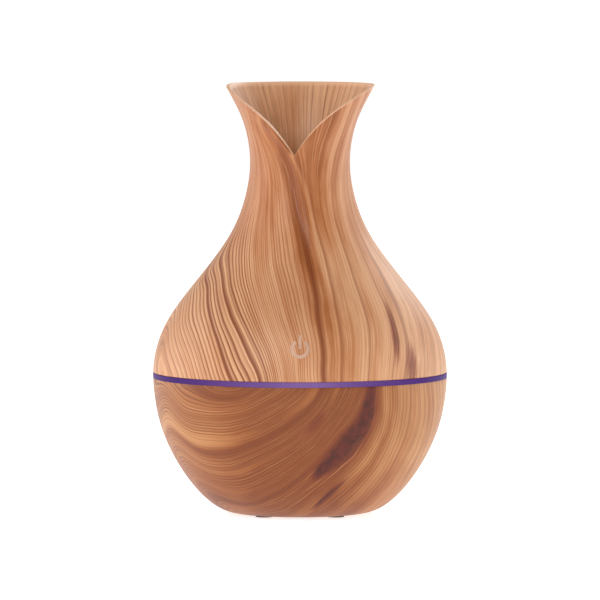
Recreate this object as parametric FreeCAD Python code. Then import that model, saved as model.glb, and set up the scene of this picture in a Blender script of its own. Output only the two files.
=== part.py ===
"""Vase-shaped ultrasonic oil diffuser: a bowl and a lift-off vase cover, with the tank, fan and boards inside.

Millimetres, +Z up, front at -Y. The origin is the middle of the circle of feet, on the surface it stands on.
"""

import FreeCAD
import Part

import math
import os

Vector = FreeCAD.Vector
UP = Vector(0, 0, 1)
OUT = "parts"

# Driving dimensions of the whole object
HEIGHT = 142.0            # feet to the highest point of the mouth
BELLY_R = 48.5            # widest radius, at the light ring
WALL = 1.8                # shell thickness
RIM_WALL = 1.15           # the vase thins towards its mouth
RING_LOW = 45.2           # light ring, underside of the visible band
RING_HIGH = 46.8          # light ring, top of the visible band
FOOT_H = 0.6              # how far the feet stand out
FLAT_R = 20.0             # flat underside of the bowl
FLOOR_TOP = FOOT_H + WALL

# Vase outline above the ring: (height, radius)
VASE_KNOTS = [(46.0, 48.5), (54.0, 47.6), (64.0, 43.7), (74.0, 36.7), (84.0, 28.8), (94.0, 22.2),
              (104.0, 18.3), (114.0, 16.55), (124.0, 17.25), (132.0, 19.7), (138.0, 22.7), (144.0, 25.85)]
# Bowl outline below the ring: (radius, height)
BOWL_KNOTS = [(48.45, RING_LOW), (48.15, 40.6), (46.45, 31.2), (42.65, 21.3), (36.55, 11.4), (30.4, 4.8),
              (25.5, 1.7), (FLAT_R, FOOT_H)]

# Mouth: the rim dips to a notch at the front, and the left petal laps over the right one below it
NOTCH_ANGLE = -6.5        # degrees from the front, positive towards +X
NOTCH_DEPTH = 23.0
NOTCH_SPREAD = 110.0      # degrees from the notch to where the rim is level
NOTCH_POWER = 2.15
LAP_KNOTS = [(72.0, 19.0), (85.0, 16.2), (94.0, 13.4), (104.0, 9.0), (111.0, 3.7), (119.0, NOTCH_ANGLE)]
LIP_HEIGHT = 1.1          # how far the lapping edge stands out
LIP_WIDTH = 1.8
STEP_SHARP = 0.5          # half width of the drop to the petal beneath, at the notch
STEP_SOFT = 1.7           # and lower down, where the lap melts into the vase
VALLEY_DEPTH = 0.6
VALLEY_OFFSET = 4.0
VALLEY_WIDTH = 1.9

# Cover fit on the tank's spigot
COVER_LOW = RING_HIGH + 0.1
FIT_BORE_R = 45.0
FIT_TOP = 52.0
KEY_W = 4.0               # the key that lines the cover up with the touch sensor
KEY_TOP = 48.9

# Tank
TANK_IN_R = 37.4
TANK_OUT_R = 39.2
TANK_TOP = 60.0
TANK_FLOOR = 26.0
FLANGE_TOP = 48.4
SPIGOT_OUT_R = 44.8
SPIGOT_IN_R = 42.6
SPIGOT_TOP = 52.9
DUCT_Y = 29.5             # air duct that rises through the tank
DUCT_IN_R = 4.6
DUCT_OUT_R = 6.0
DUCT_TOP = 58.0
PILLAR_PITCH_R = 16.5     # screws that pull the tank down onto the bowl
PILLAR_R = 2.6

# Transducer under the tank floor
SEAT_R = 10.2
BOSS_R = 13.8
DISC_R = 8.5
RETAINER_LOW = 19.4
BOSS_LOW = 21.0
SEAT_TOP = 24.6

# Fan, 25 mm square and 7 mm thick
FAN_HALF = 12.5
FAN_LOW = FLOOR_TOP
FAN_HIGH = FAN_LOW + 7.0
FAN_BORE_R = 11.6
FAN_SCREW_XY = 10.3

# Main board
BOARD_LOW = 13.0
BOARD_TOP = 14.2
BOARD_POST = (14.0, 26.3)
SOCKET_MOUTH_Y = 36.0
SOCKET_MID_Z = BOARD_TOP + 1.35

# Touch sensor and the power symbol in front of it
ICON_Z = 57.7
ICON_R = 3.1
ICON_STROKE = 1.1
ICON_BAR_W = 0.95
ICON_GAP_DEG = 32.0       # half of the gap at the top
ICON_BAR_TOP = 4.35
SKIN = 0.35               # how deep the symbol is inlaid
PROUD = 0.05

# Splash guard in the neck
GUARD_FLANGE_Z = 74.4
GUARD_SCREW_R = 29.0


def clamped_spline(knots, slope_start=None, slope_end=None):
    """Twice-smooth curve y(x) through the knots. A slope left out is a free end."""
    xs = [k[0] for k in knots]
    ys = [k[1] for k in knots]
    n = len(xs)
    gap = [xs[i + 1] - xs[i] for i in range(n - 1)]
    rise = [(ys[i + 1] - ys[i]) / gap[i] for i in range(n - 1)]
    lower, diagonal, upper, right = [0.0] * n, [1.0] * n, [0.0] * n, [0.0] * n
    if slope_start is not None:
        diagonal[0], upper[0], right[0] = 2 * gap[0], gap[0], 6 * (rise[0] - slope_start)
    if slope_end is not None:
        lower[-1], diagonal[-1], right[-1] = gap[-1], 2 * gap[-1], 6 * (slope_end - rise[-1])
    for i in range(1, n - 1):
        lower[i], diagonal[i], upper[i] = gap[i - 1], 2 * (gap[i - 1] + gap[i]), gap[i]
        right[i] = 6 * (rise[i] - rise[i - 1])
    for i in range(1, n):
        share = lower[i] / diagonal[i - 1]
        diagonal[i] -= share * upper[i - 1]
        right[i] -= share * right[i - 1]
    bend = [0.0] * n
    bend[-1] = right[-1] / diagonal[-1]
    for i in range(n - 2, -1, -1):
        bend[i] = (right[i] - upper[i] * bend[i + 1]) / diagonal[i]

    def curve(x):
        i = max(0, min(n - 2, sum(1 for k in xs[1:-1] if x >= k)))
        a, b, h = xs[i + 1] - x, x - xs[i], gap[i]
        return ((bend[i] * a ** 3 + bend[i + 1] * b ** 3) / (6 * h)
                + (ys[i] / h - bend[i] * h / 6) * a + (ys[i + 1] / h - bend[i + 1] * h / 6) * b)

    return curve


vase_radius = clamped_spline(VASE_KNOTS, slope_start=0.0)
lap_angle_below = clamped_spline(LAP_KNOTS)


def smooth_step(x, low, high):
    t = max(0.0, min(1.0, (x - low) / (high - low)))
    return t * t * (3 - 2 * t)


def inner_radius(z, depth=None):
    """Radius of a surface that lies depth inside the vase outline, measured square to it."""
    if depth is None:
        depth = WALL - (WALL - RIM_WALL) * smooth_step(z, 112.0, 138.0)
    slope = (vase_radius(z + 0.2) - vase_radius(z - 0.2)) / 0.4
    return vase_radius(z) - depth * math.sqrt(1 + slope * slope)


def rim_height(angle):
    """Height of the mouth's edge at an angle from the front, in degrees."""
    away = abs((angle - NOTCH_ANGLE + 180) % 360 - 180)
    return HEIGHT - NOTCH_DEPTH * max(0.0, 1 - away / NOTCH_SPREAD) ** NOTCH_POWER


def lap_angle(z):
    """Angle of the lapping petal's edge at height z: down the front, and up the left side of the notch."""
    notch_z = HEIGHT - NOTCH_DEPTH
    if z <= notch_z:
        return lap_angle_below(z)
    share = min(1.0, (HEIGHT - z) / NOTCH_DEPTH) if z < HEIGHT else 0.0
    return NOTCH_ANGLE - NOTCH_SPREAD * (1 - share ** (1 / NOTCH_POWER))


def lap_relief(angle, z):
    """How far the surface stands out at the lap: a valley, then the lip, then a drop to the petal beneath."""
    strength = smooth_step(z, 74.0, 112.0) * (1 - smooth_step(z, 121.0, 136.0))
    if strength <= 0:
        return 0.0
    turn = (lap_angle(z + 0.5) - lap_angle(z - 0.5)) * math.radians(1) * vase_radius(z)
    across = vase_radius(z) * math.radians(angle - lap_angle(z)) / math.sqrt(1 + turn * turn)
    step = STEP_SOFT + (STEP_SHARP - STEP_SOFT) * smooth_step(z, 100.0, 118.0)
    lip = LIP_HEIGHT * math.exp(-(min(0.0, across + step) / LIP_WIDTH) ** 2)
    drop = 1 - smooth_step(across, -step, step)
    valley = VALLEY_DEPTH * math.exp(-((across + VALLEY_OFFSET) / VALLEY_WIDTH) ** 2)
    return strength * (lip * drop - valley)


# ---- helpers for shapes ----

def at(angle_deg, radius, z=0.0):
    """Point at an angle from +X towards +Y."""
    a = math.radians(angle_deg)
    return Vector(radius * math.cos(a), radius * math.sin(a), z)


def front_at(angle_deg, radius, z):
    """Point at an angle from the front (-Y) towards +X."""
    a = math.radians(angle_deg)
    return Vector(radius * math.sin(a), -radius * math.cos(a), z)


def cylinder(radius, low, high, x=0.0, y=0.0):
    return Part.makeCylinder(radius, high - low, Vector(x, y, low))


def tube(outer, inner, low, high, x=0.0, y=0.0):
    return cylinder(outer, low, high, x, y).cut(cylinder(inner, low - 1, high + 1, x, y))


def block(low, high):
    return Part.makeBox(high[0] - low[0], high[1] - low[1], high[2] - low[2], Vector(*low))


def corner_path(points, radii, closed):
    """Straight edges through the points, with a tangent arc of the given radius at each corner that has one."""
    n = len(points)
    ends, arcs = [], []
    for i in range(n):
        if not radii[i] or (not closed and i in (0, n - 1)):
            ends.append((points[i], points[i]))
            arcs.append(None)
            continue
        back = (points[i - 1] - points[i]).normalize()
        ahead = (points[(i + 1) % n] - points[i]).normalize()
        half = back.getAngle(ahead) / 2
        reach = radii[i] / math.tan(half)
        first, last = points[i] + back * reach, points[i] + ahead * reach
        middle_way = (back + ahead).normalize()
        centre = points[i] + middle_way * (radii[i] / math.sin(half))
        ends.append((first, last))
        arcs.append(Part.Arc(first, centre - middle_way * radii[i], last).toShape())
    edges = []
    for i in range(n if closed else n - 1):
        if arcs[i]:
            edges.append(arcs[i])
        start, end = ends[i][1], ends[(i + 1) % n][0]
        if (end - start).Length > 1e-6:
            edges.append(Part.LineSegment(start, end).toShape())
    return Part.Wire(edges)


def revolved(outline):
    """Solid of revolution about Z from (radius, height) or (radius, height, corner radius) points."""
    points = [Vector(p[0], 0, p[1]) for p in outline]
    radii = [p[2] if len(p) > 2 else 0 for p in outline]
    return Part.Face(corner_path(points, radii, True)).revolve(Vector(), UP, 360)


def spline_edge(points, start=None, end=None):
    curve = Part.BSplineCurve()
    if start is None:
        curve.interpolate(Points=points, Parameters=[float(i) for i in range(len(points))])
    else:
        curve.interpolate(Points=points, InitialTangent=start, FinalTangent=end)
    return curve.toShape()


def screw(x, y, head_z, length, head_r, shank_r, head_h, upwards):
    """Pan-head screw with a cross recess. The head's bearing face is at head_z."""
    way = 1 if upwards else -1
    shank = Part.makeCylinder(shank_r, length, Vector(x, y, head_z), UP * way)
    head = Part.makeCylinder(head_r, head_h, Vector(x, y, head_z), UP * -way)
    top = head_z - way * head_h
    arm = head_r * 0.62
    for dx, dy in ((arm, head_r * 0.14), (head_r * 0.14, arm)):
        low, high = sorted((top, top + way * head_h * 0.55))
        head = head.cut(block((x - dx, y - dy, low), (x + dx, y + dy, high)))
    return shank.fuse(head)


def wire_lead(points, radius):
    """Insulated lead along a route of straight runs and tangent arcs, each arc as large as its runs allow."""
    points = [Vector(*p) for p in points]
    radii = [0.0] * len(points)
    for i in range(1, len(points) - 1):
        back, ahead = points[i - 1] - points[i], points[i + 1] - points[i]
        half_turn = (math.pi - back.getAngle(ahead)) / 2
        radii[i] = 0.45 * min(back.Length, ahead.Length) / math.tan(half_turn)
    route = corner_path(points, radii, False)
    profile = Part.Wire(Part.makeCircle(radius, points[0], points[1] - points[0]))
    lead = route.makePipeShell([profile], True, True)
    expected = math.pi * radius ** 2 * route.Length
    print("lead: arcs", [round(r, 1) for r in radii[1:-1]], "volume share", round(lead.Volume / expected, 4))
    return lead


# ---- bowl ----

def bowl_outline(inset):
    """Bowl outline moved inwards by inset, from the rim down to the flat underside."""
    points = []
    for i, (r, z) in enumerate(BOWL_KNOTS):
        if i == 0:
            tangent = Vector(0, 0, -1)
        elif i == len(BOWL_KNOTS) - 1:
            tangent = Vector(-1, 0, 0)
        else:
            before, after = BOWL_KNOTS[i - 1], BOWL_KNOTS[i + 1]
            tangent = Vector(after[0] - before[0], 0, after[1] - before[1]).normalize()
        inwards = Vector(tangent.z, 0, -tangent.x)
        points.append(Vector(r, 0, z) + inwards * inset)
    return points


def bowl_solid(inset):
    outline = bowl_outline(inset)
    wall = spline_edge(outline, Vector(0, 0, -1), Vector(-1, 0, 0))
    top, bottom = outline[0], outline[-1]
    corners = [bottom, Vector(0, 0, bottom.z), Vector(0, 0, top.z), top]
    lines = [Part.LineSegment(a, b).toShape() for a, b in zip(corners, corners[1:])]
    return Part.Face(Part.Wire([wall] + lines)).revolve(Vector(), UP, 360)


FOOT_SPOTS = [at(45 + 90 * i, PILLAR_PITCH_R) for i in range(4)]
PILLAR_SPOTS = [at(90 * i, PILLAR_PITCH_R) for i in range(4)]
FAN_SPOTS = [Vector(sx * FAN_SCREW_XY, sy * FAN_SCREW_XY, 0) for sx in (-1, 1) for sy in (-1, 1)]
FOOT_R = 3.0
GRILLE_R = 12.4
GRILLE_TOP = 1.5


def lower_shell():
    outer = bowl_solid(0)
    shell = outer.cut(bowl_solid(WALL))
    inside = bowl_solid(0.2)
    extras = []
    for i in range(6):                                   # ledges that carry the light board
        ledge = block((43.9, -2.5, 36.6), (47.5, 2.5, 38.4))
        ledge.rotate(Vector(), UP, 60 * i)
        extras.append(ledge.common(inside))
    for side in (-1, 1):                                 # posts that carry the main board
        x, y = side * BOARD_POST[0], BOARD_POST[1]
        extras.append(cylinder(2.2, 3.0, BOARD_LOW, x, y).common(inside))
    socket_wall = block((-7.4, SOCKET_MOUTH_Y - 2.2, 10.0), (7.4, 42.0, 20.6)).common(inside)
    extras.append(socket_wall)
    shell = shell.fuse(extras).removeSplitter()
    cuts = [cylinder(11.6, 0, 3), cylinder(GRILLE_R + 0.15, 0, GRILLE_TOP)]
    for p in PILLAR_SPOTS:
        cuts += [cylinder(1.15, 0, 3, p.x, p.y), cylinder(2.2, 0, 1.3, p.x, p.y)]
    for p in FOOT_SPOTS:
        cuts.append(cylinder(FOOT_R, 0, 1.0, p.x, p.y))
    for p in FAN_SPOTS:
        cuts.append(cylinder(0.75, 1.35, 3, p.x, p.y))
    for side in (-1, 1):
        cuts.append(cylinder(0.75, 7.4, 14, side * BOARD_POST[0], BOARD_POST[1]))
    cuts.append(block((-6.1, SOCKET_MOUTH_Y + 0.2, SOCKET_MID_Z - 4.3), (6.1, 50, SOCKET_MID_Z + 4.3)))
    cuts.append(block((-3.95, 33, SOCKET_MID_Z - 1.5), (3.95, 40, SOCKET_MID_Z + 1.5)))
    return shell.cut(cuts)


def intake_grille():
    disc = cylinder(GRILLE_R, FOOT_H, GRILLE_TOP)
    slots = []
    for inner in (3.0, 5.6, 8.2):
        slots.append(tube(inner + 1.5, inner, FOOT_H - 1, GRILLE_TOP + 1))
    slots = slots[0].fuse(slots[1:])
    for i in range(3):
        spoke = block((-11, -0.8, FOOT_H - 1), (11, 0.8, GRILLE_TOP + 1))
        spoke.rotate(Vector(), UP, 60 * i)
        slots = slots.cut(spoke)
    return disc.cut(slots)


def intake_filter():
    return cylinder(11.4, GRILLE_TOP + 0.02, FLOOR_TOP - 0.05)


def rubber_feet():
    feet = []
    for p in FOOT_SPOTS:
        pad = cylinder(FOOT_R - 0.1, 0, 0.98, p.x, p.y)
        feet.append(pad.makeFillet(0.25, [pad.Edges[i] for i in lowest_edges(pad)]))
    return Part.makeCompound(feet)


def lowest_edges(solid):
    low = solid.BoundBox.ZMin
    return [i for i, e in enumerate(solid.Edges) if e.BoundBox.ZMax < low + 1e-4]


def base_screws():
    return Part.makeCompound([screw(p.x, p.y, 1.3, 7.5, 2.0, 0.85, 0.65, True) for p in PILLAR_SPOTS])


# ---- light ring ----

def light_ring():
    return revolved([(43.4, RING_LOW), (44.6, RING_LOW), (44.6, 42.2), (46.0, 42.2), (46.0, RING_LOW),
                     (48.5, RING_LOW), (48.5, RING_HIGH), (43.4, RING_HIGH)])


LED_BOARD_LOW = 38.4
LED_BOARD_TOP = 39.4


def led_board():
    ring = tube(45.7, 41.0, LED_BOARD_LOW, LED_BOARD_TOP)
    return ring.cut(block((-5, -50, 30), (5, -35, 50)))


def leds():
    packages = []
    for i in range(6):
        p = 60 * i + 30
        package = block((43.3, -1.75, LED_BOARD_TOP), (46.1 - 0.6, 1.75, LED_BOARD_TOP + 1.4))
        lens = cylinder(0.9, LED_BOARD_TOP + 1.3, LED_BOARD_TOP + 1.7, 44.4, 0)
        package = package.fuse(lens)
        package.rotate(Vector(), UP, p)
        packages.append(package)
    return Part.makeCompound(packages)


# ---- tank and what hangs under it ----

def water_tank():
    body = revolved([
        (6.8, SEAT_TOP), (6.8, TANK_FLOOR, 0.5), (TANK_IN_R, TANK_FLOOR + 2.0, 8.0),
        (TANK_IN_R, TANK_TOP, 0.7), (TANK_OUT_R, TANK_TOP, 0.7), (TANK_OUT_R, TANK_FLOOR + 0.1, 9.7),
        (BOSS_R, TANK_FLOOR - 1.6), (BOSS_R, BOSS_LOW), (SEAT_R, BOSS_LOW), (SEAT_R, SEAT_TOP)])
    level_rib = revolved([(TANK_IN_R + 0.2, 49.6), (TANK_IN_R - 0.5, 50.1), (TANK_IN_R + 0.2, 50.6)])
    holes = [cylinder(0.7, 20, 23.8, p.x, p.y) for p in RETAINER_SPOTS]
    return body.fuse(level_rib).cut(holes + [cylinder(DUCT_OUT_R, 20, 38, 0, DUCT_Y)])


def tank_collar():
    """Flange and spigot round the tank: it rests on the light ring and carries the cover."""
    collar = revolved([
        (TANK_OUT_R, FLANGE_TOP), (SPIGOT_IN_R, FLANGE_TOP, 0.4), (SPIGOT_IN_R, SPIGOT_TOP, 0.4),
        (SPIGOT_OUT_R, SPIGOT_TOP, 0.6), (SPIGOT_OUT_R, 51.0), (43.9, 51.0), (43.9, 49.2), (SPIGOT_OUT_R, 49.2),
        (SPIGOT_OUT_R, RING_HIGH), (TANK_OUT_R, RING_HIGH)])
    key = block((-KEY_W / 2, SPIGOT_OUT_R - 0.4, RING_HIGH + 0.2), (KEY_W / 2, SPIGOT_OUT_R + 0.6, KEY_TOP))
    return collar.fuse(key).cut(cylinder(1.1, 46, 49, 0, -40.9))


def air_duct():
    return tube(DUCT_OUT_R, DUCT_IN_R, TANK_FLOOR - 1.2, DUCT_TOP, 0, DUCT_Y)


def tank_posts():
    tank = water_tank()
    posts = []
    for p in PILLAR_SPOTS:
        post = cylinder(PILLAR_R, FLOOR_TOP, TANK_FLOOR, p.x, p.y).cut(cylinder(0.85, 0, 12.0, p.x, p.y))
        posts.append(post.cut(tank).Solids[0])
    return Part.makeCompound(posts)


RETAINER_SPOTS = [at(30 + 120 * i, 12.1) for i in range(3)]


def tank_seal():
    return revolved([(43.95, 49.3), (SPIGOT_OUT_R - 0.1, 49.3, 0.3), (FIT_BORE_R - 0.05, 50.1, 0.3),
                     (SPIGOT_OUT_R - 0.1, 50.9, 0.3), (43.95, 50.9)])


def transducer_disc():
    return cylinder(DISC_R, 23.3, 23.9).fuse(cylinder(4.2, 23.1, 23.3))


def transducer_gasket():
    ring = tube(SEAT_R - 0.05, 6.8, BOSS_LOW + 1.6, SEAT_TOP - 0.02)
    return ring.cut(cylinder(DISC_R, 23.3, 23.9))


def transducer_retainer():
    plate = tube(BOSS_R, 7.2, RETAINER_LOW, BOSS_LOW)
    collar = tube(SEAT_R - 0.1, 7.2, BOSS_LOW - 0.5, BOSS_LOW + 1.6)
    return plate.fuse(collar).cut([cylinder(0.95, 18, 22, p.x, p.y) for p in RETAINER_SPOTS])


def retainer_screws():
    return Part.makeCompound([screw(p.x, p.y, RETAINER_LOW, 4.2, 1.5, 0.7, 0.8, True) for p in RETAINER_SPOTS])


# ---- fan ----

HUB_R = 6.0
BEARING_R = 1.5
SHAFT_R = 0.75
FAN_PLATE_LOW = FAN_HIGH - 0.9


def fan_frame():
    body = block((-FAN_HALF, -FAN_HALF, FAN_LOW), (FAN_HALF, FAN_HALF, FAN_HIGH))
    corners = [e for e in body.Edges if abs(e.Vertexes[0].Z - e.Vertexes[-1].Z) > 1]
    body = body.makeFillet(1.5, corners).cut(cylinder(FAN_BORE_R, FAN_LOW - 1, FAN_HIGH + 1))
    motor_plate = tube(HUB_R, BEARING_R, FAN_PLATE_LOW, FAN_HIGH)
    sleeve = tube(BEARING_R + 0.7, BEARING_R, FAN_LOW + 2.0, FAN_PLATE_LOW + 0.2)
    struts = []
    for i in range(3):
        strut = block((HUB_R - 0.5, -0.7, FAN_PLATE_LOW), (FAN_BORE_R + 0.4, 0.7, FAN_HIGH))
        strut.rotate(Vector(), UP, 120 * i + 15)
        struts.append(strut)
    body = body.fuse([motor_plate, sleeve] + struts)
    return body.cut([cylinder(1.1, FAN_LOW - 1, FAN_HIGH + 1, p.x, p.y) for p in FAN_SPOTS])


def fan_bearing():
    return tube(BEARING_R, SHAFT_R + 0.03, FAN_LOW + 2.0, FAN_HIGH - 0.3)


def fan_stator():
    core = tube(3.2, BEARING_R + 0.7, FAN_LOW + 2.3, FAN_PLATE_LOW - 0.3)
    poles = []
    for i in range(4):
        arm = block((2.8, -0.5, FAN_LOW + 2.9), (3.9, 0.5, FAN_PLATE_LOW - 0.9))
        arm.rotate(Vector(), UP, 90 * i)
        poles.append(arm)
    shoes = tube(4.3, 3.8, FAN_LOW + 2.9, FAN_PLATE_LOW - 0.9)
    for i in range(4):
        slot = block((3, -0.4, FAN_LOW), (6, 0.4, FAN_HIGH))
        slot.rotate(Vector(), UP, 90 * i + 45)
        shoes = shoes.cut(slot)
    return core.fuse(poles + [shoes])


def fan_impeller():
    low, high = FAN_LOW + 0.6, FAN_PLATE_LOW - 0.3
    hub = cylinder(HUB_R, low, high).cut(cylinder(HUB_R - 0.6, low + 0.8, high + 1))
    hub = hub.cut(cylinder(SHAFT_R, low - 1, low + 2))
    reach = tube(11.15, HUB_R - 0.3, low, high)
    blades = []
    for i in range(7):
        blade = block((HUB_R - 0.3, -0.35, -5), (11.5, 0.35, 5))
        blade.rotate(Vector(), Vector(1, 0, 0), 48)
        blade.translate(Vector(0, 0, (low + high) / 2))
        blade.rotate(Vector(), UP, 360 / 7 * i)
        blades.append(blade.common(reach))
    return hub.fuse(blades)


def fan_magnet():
    return tube(HUB_R - 0.62, 4.6, FAN_LOW + 1.5, FAN_PLATE_LOW - 0.5)


def fan_shaft():
    return cylinder(SHAFT_R, FAN_LOW + 0.6, FAN_HIGH - 0.5)


def fan_screws():
    return Part.makeCompound([screw(p.x, p.y, FAN_HIGH, 7.9, 1.6, 0.72, 0.8, False) for p in FAN_SPOTS])


# ---- main board ----

CONNECTOR_X = (-13.0, -7.0, 7.0, 13.0)
CONNECTOR_Y = (14.6, 17.8)
CONNECTOR_H = 3.4


def main_board():
    outline = [(-17, 13.7), (17, 13.7), (17, 28.8), (6, 31.2), (6, 33.2), (-6, 33.2), (-6, 31.2), (-17, 28.8)]
    points = [Vector(x, y, BOARD_LOW) for x, y in outline]
    board = Part.Face(Part.makePolygon(points + points[:1])).extrude(UP * (BOARD_TOP - BOARD_LOW))
    gap = PILLAR_R + 0.3
    holes = [cylinder(gap, 10, 16, 0, PILLAR_PITCH_R), block((-gap, 10, 10), (gap, PILLAR_PITCH_R, 16))]
    for side in (-1, 1):
        holes.append(cylinder(1.1, 10, 16, side * BOARD_POST[0], BOARD_POST[1]))
    return board.cut(holes)


def board_screws():
    return Part.makeCompound([screw(s * BOARD_POST[0], BOARD_POST[1], BOARD_TOP, 6.0, 1.7, 0.75, 0.9, False)
                              for s in (-1, 1)])


def usb_socket():
    low, high = SOCKET_MID_Z - 1.33, SOCKET_MID_Z + 1.33
    body = block((-3.75, 30.4, low), (3.75, SOCKET_MOUTH_Y, high))
    return body.cut(block((-3.45, 31.2, low + 0.3), (3.45, SOCKET_MOUTH_Y + 1, high - 0.3)))


def usb_tongue():
    return block((-2.6, 31.2, SOCKET_MID_Z + 0.15), (2.6, SOCKET_MOUTH_Y - 0.6, SOCKET_MID_Z + 0.75))


def board_chips():
    spots = [((-9.4, 20.6), (6.0, 5.0, 1.5)), ((5.2, 19.6), (5.0, 4.0, 1.4))]
    chips = []
    for (x, y), (w, d, h) in spots:
        body = block((x, y, BOARD_TOP + 0.1), (x + w, y + d, BOARD_TOP + h))
        pins = []
        for i in range(4):
            px = x + w * (i + 0.5) / 4
            pins.append(block((px - 0.2, y - 0.7, BOARD_TOP), (px + 0.2, y + d + 0.7, BOARD_TOP + 0.3)))
        chips.append(body.fuse(pins))
    return Part.makeCompound(chips)


def inductor():
    coil = cylinder(2.7, BOARD_TOP, BOARD_TOP + 0.9, 0, 23.6)
    return coil.fuse([cylinder(2.0, BOARD_TOP, BOARD_TOP + 4.0, 0, 23.6),
                      cylinder(2.7, BOARD_TOP + 3.1, BOARD_TOP + 4.0, 0, 23.6)])


def capacitor():
    can = cylinder(2.0, BOARD_TOP, BOARD_TOP + 5.2, 8.6, 26.6)
    return can.makeFillet(0.3, [e for e in can.Edges if e.BoundBox.ZMin > BOARD_TOP + 5])


def wire_connectors():
    housings = []
    for x in CONNECTOR_X:
        body = block((x - 2, CONNECTOR_Y[0], BOARD_TOP), (x + 2, CONNECTOR_Y[1], BOARD_TOP + CONNECTOR_H))
        recess = block((x - 1.5, CONNECTOR_Y[0] + 0.5, BOARD_TOP + 1.6),
                       (x + 1.5, CONNECTOR_Y[1] - 0.5, BOARD_TOP + CONNECTOR_H + 1))
        housings.append(body.cut(recess))
    return Part.makeCompound(housings)


# ---- touch sensor ----

def front_tilt():
    """Angle of the cover's wall from upright at the symbol, in degrees."""
    slope = (vase_radius(ICON_Z + 1) - vase_radius(ICON_Z - 1)) / 2
    return math.degrees(math.atan(-slope))


def on_sensor(shape, depth):
    """Moves a shape from its own frame, +Z facing the finger, to its place behind the symbol."""
    shape = shape.copy()
    shape.rotate(Vector(), Vector(1, 0, 0), 90 - front_tilt())
    shape.translate(Vector(0, -inner_radius(ICON_Z), ICON_Z))
    tilt = math.radians(front_tilt())
    shape.translate(Vector(0, depth * math.cos(tilt), -depth * math.sin(tilt)))
    return shape


HOUSING_GAP = 0.6
HOUSING_WALL = 0.8
SPRING_LENGTH = 1.7


def cover_inside(depth, low, high, radius_limit=100.0):
    """Solid of everything inside the cover that stays depth away from its outer surface."""
    steps = 8
    heights = [low + (high - low) * i / steps for i in range(steps + 1)]
    points = [(min(radius_limit, inner_radius(z, depth)), z) for z in heights]
    return revolved([(0, low)] + points + [(0, high)])


def touch_housing():
    low, high, half = SPIGOT_TOP + 0.1, 62.0, 8.0
    outer = cover_inside(WALL + HOUSING_GAP, low, high, FIT_BORE_R - 0.3)
    outer = outer.common(block((-half, -50, low), (half, -30, high)))
    hollow = cover_inside(WALL + HOUSING_GAP + HOUSING_WALL, low - 0.1, high - 0.8, FIT_BORE_R - 1.1)
    hollow = hollow.common(block((-half + 0.8, -50, low - 1), (half - 0.8, -30, high - 0.8)))
    tank_side = cylinder(TANK_OUT_R + 0.1, low - 1, high + 1)
    return outer.cut([hollow, tank_side])


def touch_board():
    board = block((-6, -3.4, -0.8), (6, 3.4, 0))
    return on_sensor(board, HOUSING_GAP + HOUSING_WALL + SPRING_LENGTH + 0.15)


def touch_spring():
    """Folded leaf between the board and the housing's front wall."""
    top = SPRING_LENGTH - 0.35
    outline = [(-3, 0, 0), (3, 0, 0.6), (3, top, 0.6), (-2.4, top, 0), (-2.4, top - 0.2, 0), (2.8, top - 0.2, 0.4),
               (2.8, 0.2, 0.4), (-3, 0.2, 0)]
    wire = corner_path([Vector(x, -2, z) for x, z, r in outline], [r for x, z, r in outline], True)
    return on_sensor(Part.Face(wire).extrude(Vector(0, 4, 0)), HOUSING_GAP + HOUSING_WALL + SPRING_LENGTH + 0.14)


# ---- leads ----

def fan_cable():
    x = CONNECTOR_X[3]
    return wire_lead([(11.9, 6.0, FAN_HIGH), (11.9, 6.0, 14.6), (12.4, 10.0, 19.6), (x, 15.9, 21.2),
                      (x, 16.2, 15.9)], 0.55)


def transducer_cable():
    x = CONNECTOR_X[2]
    return wire_lead([(3.0, 3.0, 23.1), (3.0, 3.2, 18.6), (4.6, 7.0, 16.6), (6.2, 11.8, 18.0),
                      (x, 15.8, 21.0), (x, 16.2, 15.9)], 0.55)


def led_cable():
    x = CONNECTOR_X[0]
    return wire_lead([(-9.4, 41.6, LED_BOARD_LOW), (-9.4, 41.6, 33.2), (-11.0, 38.6, 27.5), (-13.4, 32.4, 22.2),
                      (-14.2, 24.0, 21.4), (x, 16.2, 21.6), (x, 16.2, 15.9)], 0.6)


def touch_cable():
    x = CONNECTOR_X[1]
    return wire_lead([(0, -41.1, 53.4), (0, -40.9, 47.6), (0, -41.0, 41.5), (-0.6, -41.3, 34.0),
                      (-3.0, -38.6, 26.6), (-9.0, -32.4, 20.8), (-18.0, -23.0, 17.8), (-25.0, -10.0, 17.4),
                      (-25.2, 3.0, 18.0), (-18.6, 11.6, 20.2), (x, 16.2, 21.6), (x, 16.2, 15.9)], 0.5)


# ---- cover ----

def evenly(low, high, count):
    return [low + (high - low) * i / count for i in range(count)]


def along_lap(away, z):
    """Angle from the front of a point that is away degrees from the lap's edge, the back staying where it is."""
    return away + lap_angle(min(z, 136.0)) * (1 - smooth_step(abs(away), 0.0, 180.0))


def vase_outside():
    """The vase as a loft of closed sections whose points keep pace with the lap's edge as it climbs."""
    away = (evenly(-180, -44, 17) + evenly(-44, -24, 10) + evenly(-24, 8, 32) + evenly(8, 20, 6)
            + evenly(20, 180, 20))
    parameters = [math.radians(a) for a in away] + [math.pi]
    heights = evenly(COVER_LOW, VASE_KNOTS[-1][0], 36) + [VASE_KNOTS[-1][0]]
    wires = []
    for z in heights:
        angles = [along_lap(a, z) for a in away]
        points = [front_at(a, vase_radius(z) + lap_relief(a, z), z) for a in angles]
        curve = Part.BSplineCurve()
        curve.interpolate(Points=points, PeriodicFlag=True, Parameters=parameters)
        wires.append(Part.Wire(curve.toShape()))
    return Part.makeLoft(wires, True, False)


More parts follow.
